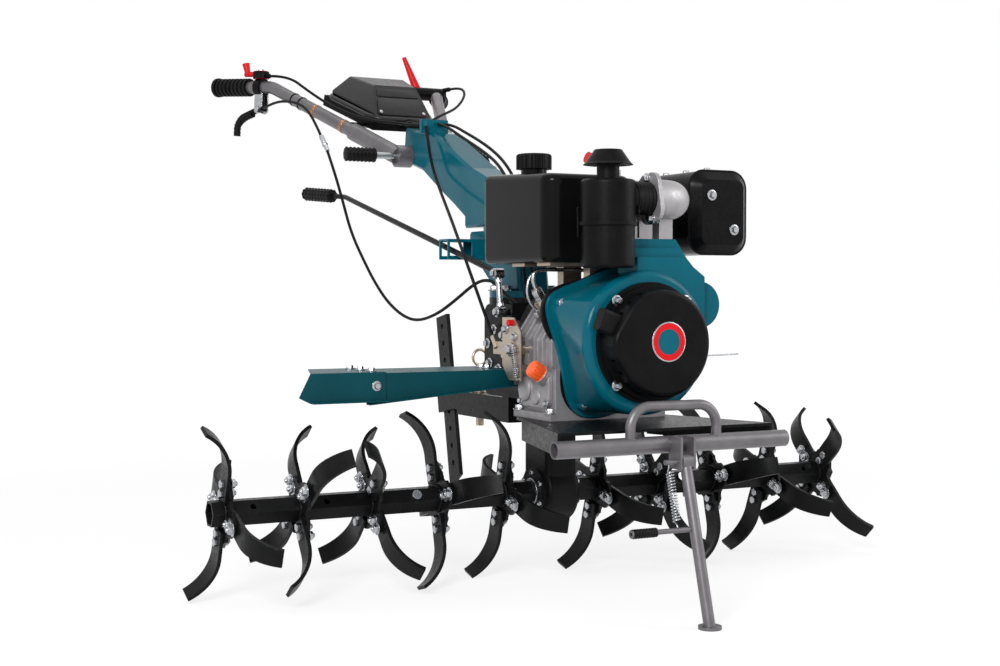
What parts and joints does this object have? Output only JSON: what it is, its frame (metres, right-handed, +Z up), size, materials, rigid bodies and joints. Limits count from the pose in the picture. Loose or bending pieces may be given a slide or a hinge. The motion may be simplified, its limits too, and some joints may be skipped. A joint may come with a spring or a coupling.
{
  "type": "walk-behind power tiller",
  "caption": "Walk-behind diesel tiller: air-cooled engine on a gearbox over a transverse tine rotor, front stand, drag stake and adjustable handlebars.",
  "frame": {"origin": "on the ground, in the middle of the footprint's box", "axes": "+Z up, +Y to the rear where the operator walks, +X to the operator's left"},
  "size_m": [1.3008, 1.5968, 1.0708],
  "materials": {
    "black": "satin black paint",
    "cast": "raw cast aluminium",
    "gloss_black": "gloss black plastic",
    "grey": "metallic grey paint",
    "orange": "orange plastic",
    "plastic": "matte black plastic",
    "red": "red plastic",
    "rubber": "black rubber",
    "steel": "bare steel",
    "teal": "satin teal paint",
    "zinc": "zinc plated steel"
  },
  "bodies": {
    "chassis": {"air_cleaner": "plastic", "blower_shroud": "teal", "column_base": "teal", "cylinder_head": "cast", "decompression_lever": "red", "engine_block": "cast", "engine_plate": "black", "fender": "teal", "fender_bracket": "black", "fender_extension": "teal", "final_drive": "black", "front_bumper": "grey", "fuel_cap": "plastic", "fuel_tank": "gloss_black", "gear_case": "black", "gear_lever": "zinc", "governor_plate": "zinc", "hitch_box": "black", "hitch_pin": "zinc", "injection_pump": "zinc", "intake_elbow": "cast", "intake_hose": "rubber", "muffler": "black", "oil_filler": "orange", "rain_cap": "plastic", "recoil_starter": "plastic", "stake_holder": "black", "stand_bracket": "grey", "starter_grip": "rubber", "tank_bracket": "zinc"},
    "tine_rotor": {"tine_blades_left_inner": "black", "tine_blades_left_outer": "black", "tine_blades_right_inner": "black", "tine_blades_right_outer": "black", "tine_pins": "black", "tine_tube_left_inner": "black", "tine_tube_left_outer": "black", "tine_tube_right_inner": "black", "tine_tube_right_outer": "black", "output_shaft": "black"},
    "stand": {"stand_leg": "grey", "stand_pedal": "rubber", "stand_spring": "steel"},
    "column": {"steering_column": "teal", "tilt_clamp": "zinc", "swivel_lever": "zinc", "control_cables_lower": "rubber"},
    "handlebars": {"handlebar_right": "grey", "handlebar_left": "grey", "handgrip_right": "rubber", "handgrip_left": "rubber", "console_cover": "plastic", "console_tray": "plastic", "clutch_lever": "plastic", "throttle_lever": "red", "reverse_lever": "red", "control_cables_upper": "rubber"},
    "stake": {"drag_stake": "black"}
  },
  "joints": [
    {"name": "tine_spin", "type": "hinge", "parent": "chassis", "child": "tine_rotor", "pos_m": [0, -0.29, 0.15064], "axis": [1, 0, 0], "continuous": true},
    {"name": "stand_fold", "type": "hinge", "parent": "chassis", "child": "stand", "pos_m": [0, -0.714, 0.24564], "axis": [1, 0, 0], "range_deg": [0, 95], "deforming": ["stand_spring"]},
    {"name": "column_swivel", "type": "hinge", "parent": "chassis", "child": "column", "pos_m": [0, -0.09, 0.62164], "axis": [0, 0, 1], "range_deg": [-20, 20], "deforming": ["control_cables_lower"]},
    {"name": "handlebar_tilt", "type": "hinge", "parent": "column", "child": "handlebars", "pos_m": [0, 0.255, 0.78864], "axis": [1, 0, 0], "range_deg": [-12, 18], "deforming": ["control_cables_upper"]},
    {"name": "stake_slide", "type": "slide", "parent": "chassis", "child": "stake", "axis": [0, 0.1891, 0.982], "range_m": [-0.1, 0.12]}
  ]
}
